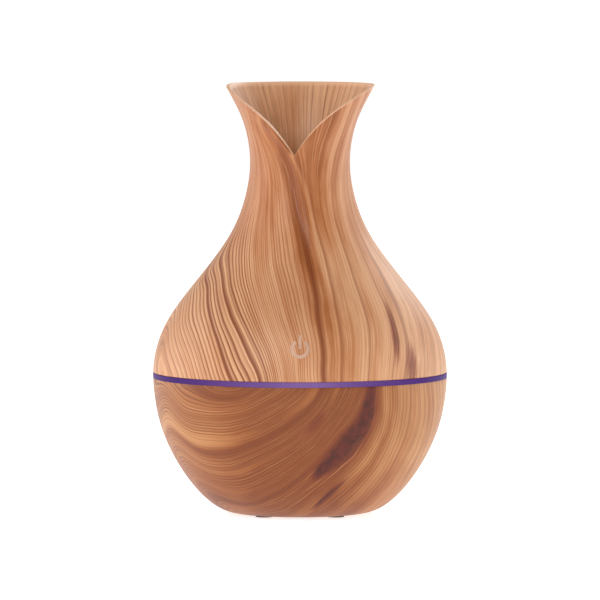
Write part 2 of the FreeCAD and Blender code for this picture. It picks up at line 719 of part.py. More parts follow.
def vase_inside():
    """The hollow, with the cylindrical bore that fits the tank's spigot at its foot."""
    heights = [FIT_TOP + 1.2 + 3.8 * i for i in range(25)]
    wall = [Vector(inner_radius(z), 0, z) for z in heights]
    edge = spline_edge(wall)
    corners = [wall[-1], Vector(0, 0, wall[-1].z), Vector(0, 0, COVER_LOW - 1), Vector(FIT_BORE_R, 0, COVER_LOW - 1),
               Vector(FIT_BORE_R, 0, FIT_TOP), wall[0]]
    lines = [Part.LineSegment(a, b).toShape() for a, b in zip(corners, corners[1:])]
    return Part.Face(Part.Wire([edge] + lines)).revolve(Vector(), UP, 360)


def mouth_cutters():
    """Everything above the mouth's edge, as a left and a right half that meet at the notch."""
    halves = []
    for side in (-1, 1):
        angles = [NOTCH_ANGLE + side * 180.0 * i / 30 for i in range(31)]
        edges = [spline_edge([front_at(a, r, rim_height(a)) for a in angles]) for r in (5.0, 40.0)]
        halves.append(Part.makeRuledSurface(edges[0], edges[1], 1).extrude(UP * 40))
    return halves


def icon_prism():
    """The power symbol as a thick prism along Y: a ring with a gap at the top, and a bar through the gap."""
    centre, way = Vector(0, -60, ICON_Z), Vector(0, 1, 0)
    ring = Part.makeCylinder(ICON_R, 25, centre, way)
    ring = ring.cut(Part.makeCylinder(ICON_R - ICON_STROKE, 25, centre, way))
    reach = 2 * ICON_R
    half = math.radians(ICON_GAP_DEG)
    wedge = [centre, centre + Vector(-reach * math.sin(half), 0, reach * math.cos(half)),
             centre + Vector(reach * math.sin(half), 0, reach * math.cos(half)), centre]
    ring = ring.cut(Part.Face(Part.makePolygon(wedge)).extrude(way * 25))
    bar = block((-ICON_BAR_W / 2, -60, ICON_Z), (ICON_BAR_W / 2, -35, ICON_Z + ICON_BAR_TOP))
    return Part.makeCompound([ring, bar])


def symbol_layer(depth_low, depth_high):
    """Layer of the cover's front wall between two depths below its outer surface."""
    low, high, steps = 52.5, 63.5, 8
    heights = [low + (high - low) * i / steps for i in range(steps + 1)]
    outer = spline_edge([Vector(inner_radius(z, depth_low), 0, z) for z in heights])
    inner = spline_edge([Vector(inner_radius(z, depth_high), 0, z) for z in heights])
    ends = [Part.LineSegment(outer.Vertexes[i].Point, inner.Vertexes[i].Point).toShape() for i in (0, -1)]
    wire = Part.Wire(Part.__sortEdges__([outer, ends[0], inner, ends[1]]))
    return Part.Face(wire).revolve(Vector(), UP, 360)


def power_icon():
    inlay = icon_prism().common(symbol_layer(-PROUD, SKIN))
    return Part.makeCompound(inlay.Solids)


def guard_boss(spot):
    return cylinder(2.6, GUARD_FLANGE_Z + 1.6, 88.0, spot.x, spot.y)


GUARD_SPOTS = [at(90 + 120 * i, GUARD_SCREW_R) for i in range(3)]


def upper_cover():
    outside = vase_outside()
    shell = outside.cut(vase_inside())
    bosses = [guard_boss(p).common(outside.cut(symbol_layer(-1, 0.1))) for p in GUARD_SPOTS]
    shell = shell.fuse(bosses)
    keyway = block((-KEY_W / 2 - 0.25, 43, COVER_LOW - 1), (KEY_W / 2 + 0.25, FIT_BORE_R + 0.75, KEY_TOP + 0.3))
    cuts = mouth_cutters() + [keyway, icon_prism().common(symbol_layer(-2.0, SKIN))]
    cuts += [cylinder(0.85, 70, GUARD_FLANGE_Z + 6.4, p.x, p.y) for p in GUARD_SPOTS]
    for cut in cuts:
        shell = shell.cut(cut)
    return shell.Solids[0] if len(shell.Solids) == 1 else shell


def mist_guard():
    """Splash guard: a flange under the bosses, a cone, and a tube that ends in a collar across the neck."""
    z = GUARD_FLANGE_Z
    body = revolved([
        (32.2, z), (32.2, z + 1.6), (25.0, z + 1.6, 1.5), (20.5, z + 9.0, 3.0), (10.4, z + 21.0, 3.0),
        (10.4, 104.6, 0.6), (15.2, 104.6), (15.2, 106.2, 0.5), (10.0, 107.4, 0.6), (9.2, 106.4, 0.5),
        (9.0, z + 20.6, 3.0), (18.9, z + 8.6, 3.0), (23.4, z + 0.6, 1.2), (23.4, z - 3.0, 0.4), (24.6, z - 3.0, 0.4),
        (24.6, z)])
    return body.cut([cylinder(1.1, z - 1, z + 3, p.x, p.y) for p in GUARD_SPOTS])


def guard_screws():
    return Part.makeCompound([screw(p.x, p.y, GUARD_FLANGE_Z, 6.0, 2.0, 0.8, 1.1, True) for p in GUARD_SPOTS])


PARTS = [
    lower_shell, intake_grille, intake_filter, rubber_feet, base_screws, light_ring, led_board, leds,
    water_tank, tank_collar, air_duct, tank_posts, tank_seal, transducer_disc, transducer_gasket, transducer_retainer, retainer_screws,
    fan_frame, fan_bearing, fan_stator, fan_impeller, fan_magnet, fan_shaft, fan_screws,
    main_board, board_screws, usb_socket, usb_tongue, board_chips, inductor, capacitor, wire_connectors,
    touch_housing, touch_board, touch_spring, fan_cable, transducer_cable, led_cable, touch_cable,
    upper_cover, power_icon, mist_guard, guard_screws,
]


def main():
    os.makedirs(OUT, exist_ok=True)
    for make in PARTS:
        shape = make()
        solids = shape.Solids
        good = bool(solids) and all(s.isValid() and s.isClosed() and s.Volume > 0 for s in solids)
        print(f"{make.__name__:20s} solids {len(solids)}  volume {sum(s.Volume for s in solids):10.1f}  valid {good}")
        if len(solids) == 1:
            shape = solids[0]
        shape.exportStep(os.path.join(OUT, make.__name__ + ".step"))


main()
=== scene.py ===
import math

import bpy
import numpy as np
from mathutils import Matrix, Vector


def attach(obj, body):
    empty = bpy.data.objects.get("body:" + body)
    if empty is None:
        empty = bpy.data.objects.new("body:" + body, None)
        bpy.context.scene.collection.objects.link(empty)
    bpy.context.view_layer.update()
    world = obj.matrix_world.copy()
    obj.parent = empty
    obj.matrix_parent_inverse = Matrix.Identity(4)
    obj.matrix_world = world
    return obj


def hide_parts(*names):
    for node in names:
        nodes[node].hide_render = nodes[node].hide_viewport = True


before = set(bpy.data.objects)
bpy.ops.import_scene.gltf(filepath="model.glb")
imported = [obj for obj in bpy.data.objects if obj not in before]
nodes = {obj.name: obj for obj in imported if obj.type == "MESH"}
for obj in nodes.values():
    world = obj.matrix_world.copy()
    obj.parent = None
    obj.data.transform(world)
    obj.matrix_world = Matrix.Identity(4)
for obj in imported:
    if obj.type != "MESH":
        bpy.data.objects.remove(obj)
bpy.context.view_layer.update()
MM = 0.001

# ---- the vase's and bowl's shape, as in the CAD (millimetres) ----

VASE_KNOTS = [(46.0, 48.5), (54.0, 47.6), (64.0, 43.7), (74.0, 36.7), (84.0, 28.8), (94.0, 22.2),
              (104.0, 18.3), (114.0, 16.55), (124.0, 17.25), (132.0, 19.7), (138.0, 22.7), (144.0, 25.85)]
BOWL_KNOTS = [(48.45, 45.2), (48.15, 40.6), (46.45, 31.2), (42.65, 21.3), (36.55, 11.4), (30.4, 4.8),
              (25.5, 1.7), (20.0, 0.6)]
HEIGHT, COVER_LOW, FIT_TOP, FIT_BORE_R = 142.0, 46.9, 52.0, 45.0
WALL, RIM_WALL = 1.8, 1.15
NOTCH_ANGLE, NOTCH_DEPTH, NOTCH_SPREAD, NOTCH_POWER = -6.5, 23.0, 110.0, 2.15
RIM_ROUND = 0.35                # how far the mouth's rounded edge reaches down
BOSS_CIRCLE_R, FOOT_CIRCLE_R = 29.0, 16.5
INLET_Z, POCKET_HALF_W, POCKET_HALF_H, POCKET_FLOOR = 15.55, 6.1, 4.3, 36.2
LAP_KNOTS = [(72.0, 19.0), (85.0, 16.2), (94.0, 13.4), (104.0, 9.0), (111.0, 3.7), (119.0, NOTCH_ANGLE)]


def spline(xs, ys, slope_start=None, slope_end=None):
    """Twice-smooth curve through the knots; ys may be a table of columns. Returns the curve and its slope."""
    xs, ys = np.asarray(xs, float), np.asarray(ys, float)
    n, gap = len(xs), np.diff(xs)
    rise = np.diff(ys, axis=0) / (gap if ys.ndim == 1 else gap[:, None])
    matrix, right = np.eye(n), np.zeros_like(ys)
    if slope_start is not None:
        matrix[0, :2] = 2 * gap[0], gap[0]
        right[0] = 6 * (rise[0] - slope_start)
    if slope_end is not None:
        matrix[-1, -2:] = gap[-1], 2 * gap[-1]
        right[-1] = 6 * (slope_end - rise[-1])
    for i in range(1, n - 1):
        matrix[i, i - 1:i + 2] = gap[i - 1], 2 * (gap[i - 1] + gap[i]), gap[i]
        right[i] = 6 * (rise[i] - rise[i - 1])
    bend = np.linalg.solve(matrix, right)

    def curve(x, slope=False):
        x = np.asarray(x, float)
        i = np.clip(np.searchsorted(xs, x, side="right") - 1, 0, n - 2)
        a, b, h = xs[i + 1] - x, x - xs[i], gap[i]
        if ys.ndim > 1:
            a, b, h = a[..., None], b[..., None], h[..., None]
        if slope:
            return ((bend[i + 1] * b ** 2 - bend[i] * a ** 2) / (2 * h) + (ys[i + 1] - ys[i]) / h
                    - h * (bend[i + 1] - bend[i]) / 6)
        return ((bend[i] * a ** 3 + bend[i + 1] * b ** 3) / (6 * h)
                + (ys[i] / h - bend[i] * h / 6) * a + (ys[i + 1] / h - bend[i + 1] * h / 6) * b)

    return curve


vase_radius = spline([k[0] for k in VASE_KNOTS], [k[1] for k in VASE_KNOTS], slope_start=0.0)
lap_angle_below = spline([k[0] for k in LAP_KNOTS], [k[1] for k in LAP_KNOTS])


def smooth_step(x, low, high):
    t = np.clip((np.asarray(x, float) - low) / (high - low), 0, 1)
    return t * t * (3 - 2 * t)


def rim_height(angle):
    away = np.abs((angle - NOTCH_ANGLE + 180) % 360 - 180)
    return HEIGHT - NOTCH_DEPTH * np.clip(1 - away / NOTCH_SPREAD, 0, None) ** NOTCH_POWER


def lap_angle(z):
    z = np.asarray(z, float)
    share = np.clip((HEIGHT - z) / NOTCH_DEPTH, 0, 1)
    above = NOTCH_ANGLE - NOTCH_SPREAD * (1 - share ** (1 / NOTCH_POWER))
    return np.where(z <= HEIGHT - NOTCH_DEPTH, lap_angle_below(z), above)


def lap_relief(angle, z):
    """How far the skin stands out at the lap: valley, lip, then the drop to the petal beneath."""
    strength = smooth_step(z, 74, 112) * (1 - smooth_step(z, 121, 136))
    turn = (lap_angle(z + 0.5) - lap_angle(z - 0.5)) * math.radians(1) * vase_radius(z)
    across = vase_radius(z) * np.radians(angle - lap_angle(z)) / np.sqrt(1 + turn * turn)
    step = 1.7 - 1.2 * smooth_step(z, 100, 118)
    lip = 1.1 * np.exp(-(np.minimum(0, across + step) / 1.8) ** 2)
    drop = 1 - smooth_step(across / step, -1, 1)
    valley = 0.6 * np.exp(-((across + 4.0) / 1.9) ** 2)
    return strength * (lip * drop - valley)


def inner_radius(z):
    depth = WALL - (WALL - RIM_WALL) * smooth_step(z, 112, 138)
    return vase_radius(z) - depth * np.sqrt(1 + vase_radius(z, slope=True) ** 2)


# ---- mesh helpers ----

def new_object(name, points_mm, faces):
    mesh = bpy.data.meshes.new(name)
    mesh.from_pydata((np.asarray(points_mm) * MM).tolist(), [], faces)
    mesh.validate()
    mesh.update()
    piece = bpy.data.objects.new(name, mesh)
    bpy.context.scene.collection.objects.link(piece)
    return piece


def grid_faces(rows, columns, first=0, closed=False):
    """Quads between rows of points that run all the way round. With closed, the last row joins the first."""
    faces = []
    for i in range(rows if closed else rows - 1):
        low, high = first + i * columns, first + (i + 1) % rows * columns
        for j in range(columns):
            k = (j + 1) % columns
            faces.append((low + j, low + k, high + k, high + j))
    return faces


def smooth(piece, sharp_deg=38):
    piece.data.shade_smooth()
    piece.data.set_sharp_from_angle(angle=math.radians(sharp_deg))


def cut_away(piece, cutters):
    """Cuts closed cutter meshes out of a piece and applies the result."""
    for cutter in cutters:
        modifier = piece.modifiers.new("cut", "BOOLEAN")
        modifier.operation, modifier.solver, modifier.object = "DIFFERENCE", "EXACT", cutter
    bpy.context.view_layer.update()
    evaluated = piece.evaluated_get(bpy.context.evaluated_depsgraph_get())
    mesh = bpy.data.meshes.new_from_object(evaluated)
    piece.modifiers.clear()
    old, piece.data = piece.data, mesh
    bpy.data.meshes.remove(old)
    mesh.name = piece.name
    for cutter in cutters:
        bpy.data.objects.remove(cutter)


def block_cutter(low, high, bevel=0.0):
    """Box with its corners along Y rounded."""
    (x0, y0, z0), (x1, y1, z1) = low, high
    ring = []
    for cx, cz, start in ((x1, z1, 0), (x0, z1, 90), (x0, z0, 180), (x1, z0, 270)):
        for step in range(5 if bevel else 1):
            a = math.radians(start + 22.5 * step)
            sx, sz = (1 if cx == x1 else -1), (1 if cz == z1 else -1)
            ring.append((cx - sx * bevel + bevel * math.cos(a), cz - sz * bevel + bevel * math.sin(a)))
    n = len(ring)
    points = [(x, y0, z) for x, z in ring] + [(x, y1, z) for x, z in ring]
    faces = [tuple(range(n)), tuple(range(2 * n - 1, n - 1, -1))]
    faces += [(i, i + n, (i + 1) % n + n, (i + 1) % n) for i in range(n)]
    return new_object("cutter", points, faces)


def round_cutter(x, y, radius, z0, z1, sides=40):
    a = np.arange(sides) * 2 * math.pi / sides
    ring = np.stack([x + radius * np.cos(a), y + radius * np.sin(a)], 1)
    points = [(*p, z0) for p in ring] + [(*p, z1) for p in ring]
    faces = [tuple(range(sides - 1, -1, -1)), tuple(range(sides, 2 * sides))]
    faces += [(i, (i + 1) % sides, (i + 1) % sides + sides, i + sides) for i in range(sides)]
    return new_object("cutter", points, faces)


def store(piece, name, values):
    attribute = piece.data.attributes.new(name, "FLOAT", "POINT")
    attribute.data.foreach_set("value", np.asarray(values, np.float32))


def points_of(piece):
    co = np.zeros(len(piece.data.vertices) * 3)
    piece.data.vertices.foreach_get("co", co)
    return co.reshape(-1, 3) / MM


# ---- upper cover ----

def columns():
    """Angles away from the lap's edge, close together near it."""
    parts = [(-180, -100, 32), (-100, -24, 84), (-24, 8, 64), (8, 100, 104), (100, 180, 32)]
    return np.concatenate([np.linspace(a, b, n, endpoint=False) for a, b, n in parts])


def build_cover():
    away = columns()
    pull = 1 - smooth_step(np.abs(away), 0, 180)
    rows = []

    def angles_at(z):
        return away + lap_angle(np.minimum(z, HEIGHT - NOTCH_DEPTH)) * pull

    def add(radius, angle, z):
        a = np.radians(angle)
        rows.append(np.stack([radius * np.sin(a), -radius * np.cos(a), np.broadcast_to(z, a.shape)], 1))

    def outer(z, angle, inset=0.0):
        add(vase_radius(z) + lap_relief(angle, z) - inset, angle, z)

    split, inner_split = 112.0, 108.0
    top_angles = angles_at(200.0)
    rim = rim_height(top_angles)
    ones = np.ones_like(away)
    outer(COVER_LOW * ones, angles_at(COVER_LOW), 0.35)
    for z in np.linspace(COVER_LOW + 0.25, split, 74):
        outer(z * ones, angles_at(z))
    for t in np.linspace(0, 1, 40)[1:]:
        z = split + (rim - RIM_ROUND - split) * t
        outer(z, angles_at(z))
    rim_in, rim_out = inner_radius(rim), vase_radius(rim) + lap_relief(top_angles, rim)
    for turn in np.linspace(0, 180, 9)[1:-1]:
        c = math.cos(math.radians(turn))
        lift = RIM_ROUND * math.sin(math.radians(turn)) ** 0.8
        add((rim_out + rim_in) / 2 + (rim_out - rim_in) / 2 * c, top_angles, rim - RIM_ROUND + lift)
    inner_from = len(rows)
    for t in np.linspace(0, 1, 26):
        z = rim - RIM_ROUND + (inner_split - rim + RIM_ROUND) * t
        add(np.minimum(inner_radius(z), vase_radius(z) + lap_relief(angles_at(z), z) - 0.6), angles_at(z), z)
    for z in np.linspace(106.0, FIT_TOP + 0.05, 38):
        add(inner_radius(z * ones), angles_at(z), z)
    for radius, z in ((FIT_BORE_R, FIT_TOP), (FIT_BORE_R, COVER_LOW + 0.3), (FIT_BORE_R + 0.3, COVER_LOW)):
        add(radius * ones, angles_at(z), z)
    n = len(away)
    piece = new_object("vase_cover", np.concatenate(rows), grid_faces(len(rows), n, closed=True))
    row = np.arange(len(rows) * n) // n
    store(piece, "inner", (row >= inner_from).astype(float))
    store(piece, "edge", ((row >= inner_from - 7) & (row <= inner_from)).astype(float))
    return piece


def build_bosses():
    """Three bosses inside the cover that the splash guard is screwed to."""
    points, faces = [], []
    sides = 32
    heights = np.linspace(60, 100, 400)
    radii = inner_radius(heights)
    for k in range(3):
        turn = math.radians(90 + 120 * k)
        cx, cy = BOSS_CIRCLE_R * math.cos(turn), BOSS_CIRCLE_R * math.sin(turn)
        a = np.arange(sides) * 2 * math.pi / sides
        first = len(points)
        for radius, z in ((0.85, 80.8), (0.85, 76.0), (2.35, 76.0), (2.6, 76.25), (2.6, None)):
            for t in a:
                x, y = cx + radius * math.cos(t), cy + radius * math.sin(t)
                top = float(np.interp(-math.hypot(x, y), -radii, heights)) + 0.6
                points.append((x, y, top if z is None else z))
        faces += grid_faces(5, sides, first)
        faces.append(tuple(first + sides - 1 - j for j in range(sides)))
    piece = new_object("cover_bosses", points, faces)
    smooth(piece)
    return piece


# ---- bowl ----

def bowl_profile():
    """The bowl's outer line by the length along it, from the rim down to the flat, and its whole length."""
    knots = np.array(BOWL_KNOTS)
    reach = np.concatenate([[0], np.cumsum(np.linalg.norm(np.diff(knots, axis=0), axis=1))])
    return spline(reach, knots, slope_start=np.array([0, -1.0]), slope_end=np.array([-1.0, 0])), reach[-1]


def bowl_line():
    """Heights, from the flat up, and the bowl's radius at each."""
    curve, length = bowl_profile()
    points = curve(np.linspace(0, length, 400))[::-1]
    return points[:, 1], points[:, 0]


BOWL_LINE = bowl_line()


def build_bowl():
    curve, length = bowl_profile()
    wall = curve(np.linspace(0, length, 92))
    s = np.linspace(length, 0, 26)
    way = curve(s, slope=True)
    way /= np.linalg.norm(way, axis=1)[:, None]
    inner = curve(s) + np.stack([way[:, 1], -way[:, 0]], 1) * WALL
    outline = [(46.95, 45.2), (48.3, 45.2)] + [tuple(p) for p in wall[1:]]
    outline += [(15, 0.6), (8, 0.6), (3, 0.6)]
    inner_line = [(3, 2.4), (8, 2.4), (15, 2.4)] + [tuple(p) for p in inner[:-1]] + [(46.65, 45.2)]
    n = 360
    a = np.arange(n) * 2 * math.pi / n
    rows = [np.stack([r * np.sin(a), -r * np.cos(a), np.full(n, z)], 1) for r, z in outline + inner_line]
    faces = [face[::-1] for face in grid_faces(len(rows), n, closed=True)]
    piece = new_object("bowl_shell", np.concatenate(rows), faces)
    cutters = [round_cutter(0, 0, 12.55, -1, 1.5, 64), round_cutter(0, 0, 11.6, 1.0, 3.5, 64)]
    for i in range(4):
        foot, post = math.radians(45 + 90 * i), math.radians(90 * i)
        foot_x, foot_y = FOOT_CIRCLE_R * math.cos(foot), FOOT_CIRCLE_R * math.sin(foot)
        post_x, post_y = FOOT_CIRCLE_R * math.cos(post), FOOT_CIRCLE_R * math.sin(post)
        cutters.append(round_cutter(foot_x, foot_y, 3.0, -1, 1.0))
        cutters.append(round_cutter(post_x, post_y, 2.2, -1, 1.3))
        cutters.append(round_cutter(post_x, post_y, 1.15, 1.0, 3.5))
    cutters.append(block_cutter((-POCKET_HALF_W, POCKET_FLOOR, INLET_Z - POCKET_HALF_H),
                                (POCKET_HALF_W, 60, INLET_Z + POCKET_HALF_H), 1.6))
    cut_away(piece, cutters)
    smooth(piece)
    return piece


def build_inlet():
    """Liner of the inlet pocket, with the slot that the plug goes through."""
    rings = []
    # half width, half height, corner radius, y, and how deep under the skin the ring stays
    for half_w, half_h, corner, y, under in (
            (3.95, 1.5, 0.5, 34.2, 0.12), (3.95, 1.5, 0.5, 36.1, 0.12), (4.15, 1.7, 0.6, 36.32, 0.12),
            (6.0, 4.2, 1.5, 36.32, 0.12), (6.0, 4.2, 1.5, None, 0.35), (7.2, 5.2, 2.2, None, 0.9),
            (7.2, 5.2, 2.2, 34.2, 0.9)):
        ring = []
        for sx, sz, start in ((1, 1, 0), (-1, 1, 90), (-1, -1, 180), (1, -1, 270)):
            for step in range(7):
                t = math.radians(start + 15 * step)
                x = sx * (half_w - corner) + corner * math.cos(t)
                z = INLET_Z + sz * (half_h - corner) + corner * math.sin(t)
                skin = math.sqrt(np.interp(z, *BOWL_LINE) ** 2 - x ** 2)
                ring.append((x, skin - under if y is None else min(y, skin - under), z))
        rings.append(np.array(ring))
    n = len(rings[0])
    piece = new_object("inlet_liner", np.concatenate(rings), grid_faces(len(rings), n, closed=True))
    smooth(piece, 30)
    return piece


# ---- wood grain: growth-ring number along guide lines, as (angle from the front, height) ----

COVER_GRAIN = [
    (-12, [(-72, 61), (-62, 54), (-55, 48)]),
    (-6, [(-62, 66), (-48, 58), (-41, 49)]),
    (0, [(-81, 82), (-59, 76), (-47, 69), (-38, 62), (-32, 55), (-28, 48)]),
    (5, [(-78, 92), (-56, 81), (-42, 74), (-32, 67), (-25, 61), (-20, 54), (-16, 48)]),
    (9, [(-64, 134), (-63, 126), (-67, 119), (-67, 110), (-67, 101), (-62, 91), (-50, 84), (-40, 78),
         (-29, 71), (-21, 64), (-15, 57), (-11, 48)]),
    (15, [(-61, 127), (-55, 120), (-51, 113), (-49, 106), (-48, 99), (-42, 91), (-33, 83), (-25, 76),
         (-18, 69), (-13, 62), (-9, 55), (-7, 48)]),
    (27, [(-55, 127), (-44, 120), (-36, 113), (-31, 106), (-27, 99), (-22, 92), (-16, 84), (-10, 77),
         (-6, 70), (-2, 62), (0, 55), (0, 48)]),
    (34, [(-31, 126), (-23, 121), (-13, 116), (-7, 110), (-3, 103), (1, 96), (4, 90), (7, 81), (8, 73),
         (8, 63), (9, 55), (9, 47)]),
    (38, [(8, 118), (9, 110), (12, 101), (15, 93), (17, 81), (17, 72), (17, 60), (16, 47)]),
    (45, [(53, 129), (47, 122), (41, 115), (37, 108), (35, 101), (35, 93), (34, 84), (32, 75), (31, 67),
         (29, 58), (27, 47)]),
    (52, [(64, 117), (59, 111), (55, 104), (53, 96), (49, 86), (46, 77), (44, 68), (42, 59), (38, 48)]),
    (56, [(66, 92), (66, 81), (61, 71), (56, 62), (53, 53), (51, 47)]),
    (59, [(84, 110), (84, 92), (80, 75), (79, 64), (75, 55), (72, 47)]),
    (66, [(112, 136), (118, 112), (118, 90), (112, 68), (104, 48)]),
    (58, [(150, 138), (156, 112), (158, 90), (150, 68), (138, 48)]),
    (36, [(188, 138), (192, 112), (196, 90), (190, 68), (176, 48)]),
    (14, [(226, 138), (232, 112), (234, 90), (232, 68), (224, 48)]),
    (-6, [(258, 136), (262, 112), (258, 92), (262, 76), (264, 50)]),
]
BOWL_GRAIN = [
    (0, [(-45, 45), (-39, 42), (-30, 41), (-22, 42), (-17, 45)]),
    (5, [(-62, 42), (-52, 37), (-39, 36), (-28, 37), (-17, 40), (-8, 44)]),
    (11, [(-66, 38), (-56, 33), (-43, 31), (-29, 31), (-17, 34), (-6, 39), (1, 44)]),
    (15, [(-67, 33), (-53, 28), (-39, 27), (-27, 28), (-14, 32), (-3, 38), (5, 44)]),
    (20, [(-68, 27), (-52, 22), (-34, 21), (-19, 25), (-7, 30), (3, 36), (9, 43)]),
    (26, [(-66, 20), (-53, 16), (-35, 15), (-18, 19), (-5, 24), (5, 31), (12, 38), (15, 44)]),
    (31, [(-63, 14), (-48, 11), (-31, 10), (-15, 14), (-2, 20), (8, 26), (15, 33), (21, 40), (23, 44)]),
    (36, [(-57, 7), (-37, 5), (-18, 8), (-3, 13), (6, 19), (11, 24), (17, 31), (24, 40), (26, 44)]),
    (40, [(-31, 2), (-10, 4), (5, 10), (16, 16), (24, 22), (29, 30), (31, 37), (31, 44)]),
    (44, [(5, 3), (14, 8), (24, 15), (31, 22), (35, 30), (36, 38), (35, 45)]),
    (50, [(22, 1), (33, 8), (39, 16), (42, 25), (43, 34), (42, 45)]),
    (54, [(47, 8), (51, 18), (53, 27), (53, 36), (51, 45)]),
    (58, [(80, 6), (73, 17), (70, 27), (67, 37), (63, 45)]),
    (64, [(112, 4), (104, 18), (100, 32), (96, 45)]),
    (56, [(150, 6), (142, 18), (138, 32), (134, 45)]),
    (40, [(184, 6), (176, 18), (172, 32), (168, 45)]),
    (24, [(218, 6), (212, 18), (208, 32), (205, 45)]),
    (12, [(256, 12), (250, 24), (246, 34), (244, 45)]),
    (6, [(282, 40), (276, 45)]),
]


def place(angle, height):
    """Point on the skin at an angle from the front and a height, in decimetres."""
    angle, height = np.radians(angle), np.asarray(height, float)
    radius = np.where(height > 46, vase_radius(np.clip(height, 46, 144)), np.interp(height, *BOWL_LINE))
    return np.stack([radius * np.sin(angle), -radius * np.cos(angle), height], -1) / 100


def ring_field(guides, points_mm):
    """Growth-ring number at each point: the smoothest field that follows the guide lines."""
    centres = np.concatenate([place(np.array([p[0] for p in line]), np.array([p[1] for p in line]))
                              for _, line in guides])
    values = np.concatenate([np.full(len(line), float(ring)) for ring, line in guides])
    n = len(centres)
    gap = np.linalg.norm(centres[:, None] - centres[None], axis=2)
    flat = np.hstack([np.ones((n, 1)), centres])
    matrix = np.zeros((n + 4, n + 4))
    matrix[:n, :n] = gap ** 3 + 1e-4 * np.eye(n)
    matrix[:n, n:] = flat
    matrix[n:, :n] = flat.T
    weights = np.linalg.solve(matrix, np.concatenate([values, np.zeros(4)]))
    out = np.zeros(len(points_mm))
    for i in range(0, len(points_mm), 4000):
        p = points_mm[i:i + 4000] / 100
        d = np.linalg.norm(p[:, None] - centres[None], axis=2)
        out[i:i + 4000] = (d ** 3) @ weights[:n] + weights[n] + p @ weights[n + 1:]
    return out


def angle_of(p):
    return np.degrees(np.arctan2(p[:, 0], -p[:, 1]))


def blob(angle, height, centre, half, lean=0.0):
    """Soft elongated spot on the skin: 1 at its middle. half is (degrees, mm), lean is degrees per mm."""
    u = (angle - centre[0] - lean * (height - centre[1])) / half[0]
    v = (height - centre[1]) / half[1]
    return np.exp(-(u * u + v * v) ** 1.5)


def grain_cover(piece):
    p = points_of(piece)
    angle, z = angle_of(p), p[:, 2]
    inner = np.zeros(len(p))
    piece.data.attributes["inner"].data.foreach_get("value", inner)
    rings = ring_field(COVER_GRAIN, place(angle, np.clip(z, 46, 144)) * 100)
    mouth = 6 + (np.mod(angle, 360) - 110) / 6.5 + (z - 130) * (np.mod(angle, 360) - 190) / 1400
    store(piece, "ring", np.where(inner > 0.5, mouth, rings))
    store(piece, "along", z)
    store(piece, "turn", np.sin(np.radians(angle)) * 10)
    stain = (0.62 * blob(angle, z, (43.6, 62), (2.1, 9.5), 0.25)
             + 0.45 * blob(angle, z, (49.5, 51), (3.6, 8), 0.05))
    store(piece, "stain", np.where(inner > 0.5, 0, np.clip(stain, 0, 1)))
    # Painted shade in the crease just left of the lap's edge, less a painted highlight along its ridge, both
    # fading out above and below the lap.
    painted_crease_shade = np.exp(-((angle - lap_angle(np.minimum(z, 119)) + 11) / 6.0) ** 2)
    painted_ridge_highlight = np.exp(-((angle - lap_angle(np.minimum(z, 119)) + 2.0) / 3.4) ** 2)
    painted_crease_shade = (painted_crease_shade - 0.6 * painted_ridge_highlight) * smooth_step(z, 70, 96) * (1 - smooth_step(z, 119, 132))
    fade = 0.36 * smooth_step(z, 80, 104) - 0.14
    # Inside the mouth the colour is painted lighter throughout, as painted light. Outside, the painted crease
    # shade and ridge highlight are added to fade, which darkens the neck and lightens the body below it.
    store(piece, "tone_and_painted_shade", np.where(inner > 0.5, -0.34, 0.9 * painted_crease_shade + fade))
    store(piece, "accent", np.where(inner > 0.5, 0.22, 1 - 0.45 * smooth_step(z, 84, 104)))
    store(piece, "plain", np.where(inner > 0.5, 1 - smooth_step(z, 104, 107), 0.0))
    store(piece, "lines", np.where(inner > 0.5, 0.36, 1 - 0.3 * smooth_step(z, 90, 106)))


def grain_bowl(piece):
    p = points_of(piece)
    angle, z = angle_of(p), p[:, 2]
    radius = np.hypot(p[:, 0], p[:, 1])
    rings = ring_field(BOWL_GRAIN, p)
    store(piece, "ring", rings)
    store(piece, "along", z + p[:, 0] * 0.6)
    store(piece, "turn", np.sin(np.radians(angle)) * 10)
    heart = np.exp(-np.abs((rings - 38.0) / (1.2 + 1.2 * smooth_step(z, 12, 26))) ** 2.5)
    heart *= smooth_step(z, 11, 18) * smooth_step(angle, 0, 9) * (1 - smooth_step(angle, 40, 60))
    lens = blob(angle, z, (15.4, 9.0), (2.6, 5.2), 1.35)
    knot = (0.40 * blob(angle, z, (6.5, 34.4), (3.0, 3.4), 0.9)
            + 0.22 * blob(angle, z, (4.0, 30.5), (4.5, 2.6), 2.0))
    store(piece, "stain", np.clip(np.maximum.reduce([heart, 0.85 * lens, knot]), 0, 1))
    # Painted shade: the bowl is darkened towards its front and towards its bottom (low). The smear blobs are
    # darker wood.
    front = np.exp(-((angle - 6) / 34) ** 4)
    smear = blob(angle, z, (-8, 31), (20, 7), 1.8) + 0.8 * blob(angle, z, (-22, 18), (26, 8), 1.0)
    low = 1 - smooth_step(z, 4, 24)
    store(piece, "tone_and_painted_shade", 0.42 * front + 0.35 * np.clip(smear, 0, 1) + 0.22 * low)
    left = smooth_step(angle, -75, -45) * (1 - smooth_step(angle, 12, 30))
    store(piece, "accent", np.where(rings > 39.5, 0.8 * (np.abs(angle) < 90), left))
    inside = (radius < np.interp(z, *BOWL_LINE) - 0.9) & (z > 0.9)
    store(piece, "plain", inside.astype(float))
    store(piece, "edge", np.zeros(len(p)))
    store(piece, "lines", np.ones(len(p)))


# ---- materials ----

def linear(colour):
    """sRGB 0 to 255 to linear RGBA."""
    c = np.array(colour, float) / 255
    c = np.where(c <= 0.04045, c / 12.92, ((c + 0.055) / 1.055) ** 2.4)
    return (*c.tolist(), 1.0)


